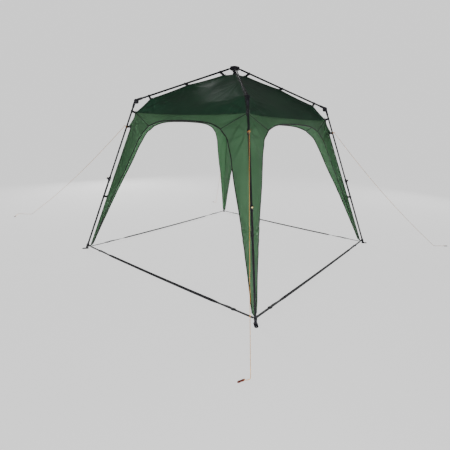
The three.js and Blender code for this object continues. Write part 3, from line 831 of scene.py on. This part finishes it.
def tie(name, corner, tube_at, tied_at, radius, width, thick, body, material, slot_name, round_cord=False):
    """A loop round a tube from a tied point, in the plane of the line between them and the sideways vector."""
    tube_at, tied_at = np.asarray(tube_at), np.asarray(tied_at)
    drop = float(np.linalg.norm(tied_at - tube_at))
    away = (tube_at - tied_at) / drop
    shape = loop_points(radius, drop)
    flat = tube_at + shape[:, 1, None] * away
    axes = corner_axes(corner)
    line = flat[:, :1] * axes[0] + shape[:, :1] * axes[1] + flat[:, 1:] * axes[2]
    if round_cord:
        profile, up = round_profile(thick / 2, 10), axes[0] * away[1] - axes[2] * away[0]
    else:
        profile = band_profile(width, thick)
        centre = tube_at[0] * axes[0] + tube_at[1] * axes[2]
        up = line - centre
    obj = sweep(name, line, profile, up=up)
    return dress(obj, material, body, slot_name)


def patch(name, corner, centre, normal_rz, width, height, body):
    """Stitched reinforcement at a tied point: a small webbing square on the ridge or edge."""
    axes = corner_axes(corner)
    n = np.asarray(normal_rz) / np.linalg.norm(normal_rz)
    d = np.array([n[1], -n[0]])
    rz = np.asarray(centre) + np.linspace(-height / 2, height / 2, 9)[:, None] * d
    line = rz[:, :1] * axes[0] + rz[:, 1:] * axes[2]
    up = n[0] * axes[0] + n[1] * axes[2]
    obj = sweep(name, line, band_profile(width, 0.0036), up=up)
    return dress(obj, WEBBING, body, "webbing")


def make_ties():
    for corner in CORNERS:
        for k, (fraction, ridge_r) in enumerate(((0.115, 0.130), (0.480, 0.560), (0.858, 1.010))):
            at = on_arm(fraction * ARM_LENGTH)
            tied = np.array([ridge_r, float(ridge_height(np.array([ridge_r]))[0])])
            tie(f"hanger_{corner}_{k}", corner, at, tied, TUBE_R + 0.0014, 0.024, 0.0018, f"arm_{corner}",
                WEBBING, "webbing")
            patch(f"hanger_patch_{corner}_{k}", corner, tied + np.array([0, 0.0025]), (0.25, 1.0),
                  0.026, 0.045, f"arm_{corner}")
        places = ((0.061, 1.722, TUBE_R), (0.152, 1.570, TUBE_R), (0.605, 0.730, LOWER_R))
        for k, (fraction, z, radius) in enumerate(places):
            at = on_leg(fraction * LEG_LENGTH)
            tied = np.array([float(side_out(z)) * ROOT2, z])
            tie(f"leg_tie_{corner}_{k}", corner, at, tied, radius + 0.0014, 0.024, 0.0018, f"leg_{corner}",
                WEBBING, "webbing")
            patch(f"leg_patch_{corner}_{k}", corner, tied + 0.002 * -LEG_IN, -LEG_IN, 0.024, 0.055,
                  f"leg_{corner}")
        tie(f"foot_tie_{corner}", corner, on_leg(LEG_LENGTH - 0.050), (EDGE[-1, 0] - 0.004, 0.036), 0.0160,
            0.024, 0.0018, f"shin_{corner}", WEBBING, "webbing")
        loop_at = on_leg(GUY_AT)
        tie(f"guy_loop_{corner}", corner, loop_at, on_leg(GUY_AT + 0.004, -GUY_OUT - 0.012), TUBE_R + 0.0032,
            0.003, 0.0046, f"leg_{corner}", LOOP, "guy_cord", round_cord=True)


make_ties()


def make_gussets():
    """Small cloth gusset from the corner edge out to the leg at the second tie, hollow along its upper edge:
    each row is a straight line from the corner edge to a curve that reaches the leg by share^1.7."""
    for corner in CORNERS:
        g = np.linspace(0, 1, 14)
        z_in = np.linspace(1.690, 1.566, 16)
        inner = np.stack([side_out(z_in) * ROOT2, z_in], axis=1)
        leg_point = on_leg(0.152 * LEG_LENGTH, 0.0100)
        share = np.linspace(0, 1, 16)[:, None]
        outer = inner + (leg_point - inner[-1]) * share**1.7
        rz = inner[:, None] + g[None, :, None] * (outer - inner)[:, None]
        axes = corner_axes(corner)
        wave = 0.003 * np.sin(2.5 * np.pi * g)[None, :] * share * (1 - share)
        points = rz[..., :1] * axes[0] + wave[..., None] * axes[1] + rz[..., 1:] * axes[2]
        gusset = cloth(f"tie_gusset_{corner}", points, 1, (LEG_FABRIC_PAINTED_LIGHT,))
        dress(gusset, LEG_FABRIC_PAINTED_LIGHT, f"leg_{corner}", "canopy_fabric")


make_gussets()


def strap_sag(along):
    """How far a floor strap hangs: 12 mm at mid-span, less by the square of the distance along it."""
    return 0.012 * (1 - np.minimum(along / STRAP_REACH, 1) ** 2)


def make_base_straps():
    """Webbing between the feet in two halves, with a ladder-lock near each foot: height falls 12 mm to mid-span,
    and the band, flat at its locks, turns 58 degrees about its length past them."""
    for side, (_, left, right) in SIDES.items():
        axes = side_axes(side)
        out = EDGE[-1, 0] / ROOT2
        for hand, corner in ((-1, left), (1, right)):
            tag = f"{side}_{'left' if hand < 0 else 'right'}"
            c = np.linspace(0, 1, 60)
            along = 1.447 * c
            z = 0.0285 - strap_sag(along)
            line = np.stack([hand * along, np.full_like(c, out), z], axis=1) @ axes
            turn = np.radians(58) * (1 - smoothstep(0.86, 1.02, along))[:, None]
            up = np.cos(turn) * axes[2] + np.sin(turn) * axes[1]
            strap = sweep(f"base_strap_{tag}", line, band_profile(*STRAP_BAND), up=up)
            dress(strap, WEBBING, f"leg_{corner}", "webbing", f"base_strap_{side}")
            place = np.array([hand * 1.20, out, 0.0255])
            ring = ladder_lock(f"ladder_lock_{tag}", place, hand, axes)
            dress(ring, NYLON, f"leg_{corner}", "joint_plastic")
            tail_along = np.linspace(1.205, 1.06, 24)
            lift = 0.0035 + 0.004 * np.sin(np.linspace(0, np.pi, 24)) ** 2
            tail_z = 0.0275 - strap_sag(tail_along) + lift
            tail = np.stack([hand * tail_along, np.full(24, out), tail_z], axis=1) @ axes
            spare = sweep(f"strap_tail_{tag}", tail, band_profile(*STRAP_BAND), up=(0, 0, 1))
            dress(spare, WEBBING, f"leg_{corner}", "webbing")
            for piece in (strap, ring, spare):
                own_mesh(piece)


def ladder_lock(name, place, hand, axes):
    """Ladder-lock: a rounded frame 44 by 34 mm swept round a superellipse, thicker along its grip."""
    a = np.linspace(0, 2 * np.pi, 64, endpoint=False)
    x = np.sign(np.cos(a)) * np.abs(np.cos(a)) ** 0.4 * 0.019
    y = np.sign(np.sin(a)) * np.abs(np.sin(a)) ** 0.4 * 0.0185
    ring = np.stack([place[0] + x, place[1] + y, place[2] + 0.002 * np.cos(a) * hand], axis=1) @ axes
    m = 12
    b = np.arange(m) / m * 2 * np.pi
    out = np.stack([np.cos(a), np.sin(a), np.zeros_like(a)], axis=1) @ axes
    points = (ring[:, None] + 0.0034 * np.cos(b)[None, :, None] * out[:, None]
              + 0.0040 * np.sin(b)[None, :, None] * np.array([0, 0, 1.0]))
    n = len(a)
    i, k = np.meshgrid(np.arange(n), np.arange(m), indexing="ij")
    j, l = (i + 1) % n, (k + 1) % m
    quads = np.stack([i * m + k, i * m + l, j * m + l, j * m + k], axis=-1)
    return smooth_by_angle(outward(new_object(name, points, quads.reshape(-1, 4).tolist()), weld=True), 60)


make_base_straps()


# ---------------------------------------------------------------- studio

def bright_paper():
    """Pale paper that is lit from behind, for the floor and the backdrop, with a faint shadow left on it."""
    mat, tree = new_material("bright_paper")
    spot = add(tree, "ShaderNodeTexCoord").outputs["Object"]
    tooth = add(tree, "ShaderNodeTexNoise", {"Vector": spot, "Scale": 0.6, "Detail": 2.0})
    base = ramp(tree, tooth.outputs["Fac"], [(0.3, "4c4c4c"), (0.7, "525252")])
    paper = add(tree, "ShaderNodeBsdfPrincipled", {
        "Base Color": base, "Roughness": 0.9, "Specular IOR Level": 0.0, "Emission Color": colour("ffffff"),
        "Emission Strength": PAPER_GLOW})
    finish_material(tree, paper.outputs[0])
    return mat


PAPER_GLOW = 1.15
# Lamps: place, size, power, and whether they show in shiny surfaces.
LAMPS = {
    "high_left": ((-3.5, -4.5, 6.0), 4.0, 95.0, False),
    "near_right": ((3.7, -4.3, 1.2), 1.0, 270.0, False),
    "far_left": ((-6.5, 1.8, 2.6), 3.0, 1000.0, False),
    "behind": ((1.5, 6.8, 2.6), 3.0, 420.0, False),
    "ridge_glint": ((-2.30, 1.35, 3.20), 0.4, 4.0, True),
}


def make_studio():
    """Pale floor and backdrop for the camera alone, a plain white floor for bounced light, and soft lamps."""
    half, high = 60.0, 90.0
    square = [(-half, -half, 0.0), (half, -half, 0.0), (half, half, 0.0), (-half, half, 0.0)]
    a = np.arange(48) / 48 * 2 * np.pi
    rim = np.stack([half * np.cos(a), half * np.sin(a)], axis=1)
    wall = np.vstack([np.c_[rim, np.full(48, -0.01)], np.c_[rim, np.full(48, high)]])
    sides = grid_faces(2, 48, wrap=True)
    paper = bright_paper()
    for name, points, faces, material in (
            ("floor", np.array(square), [(0, 1, 2, 3)], paper),
            ("backdrop", wall, sides, paper),
            ("bounce_floor", np.array(square) - (0, 0, 0.002), [(0, 1, 2, 3)], matt_floor())):
        obj = new_object(name, points, faces)
        obj.data.materials.append(material)
        seen = name != "bounce_floor"
        obj.visible_camera = seen
        obj.visible_diffuse = obj.visible_glossy = obj.visible_transmission = not seen
        obj.visible_shadow = not seen
    world = bpy.data.worlds.new("surround")
    world.use_nodes = True
    world.node_tree.nodes.clear()
    ground = add(world.node_tree, "ShaderNodeBackground", {"Color": colour("ffffff"), "Strength": 0.10})
    add(world.node_tree, "ShaderNodeOutputWorld", {"Surface": ground.outputs[0]})
    bpy.context.scene.world = world
    for name, (place, size, power, shows) in LAMPS.items():
        data = bpy.data.lights.new(name, "AREA")
        data.shape, data.size, data.energy = "DISK", size, power
        lamp = bpy.data.objects.new(name, data)
        bpy.context.scene.collection.objects.link(lamp)
        lamp.location = place
        lamp.rotation_euler = (Vector((0, 0, 1.0)) - Vector(place)).to_track_quat("-Z", "Y").to_euler()
        lamp.visible_glossy, lamp.visible_camera = shows, False


make_studio()
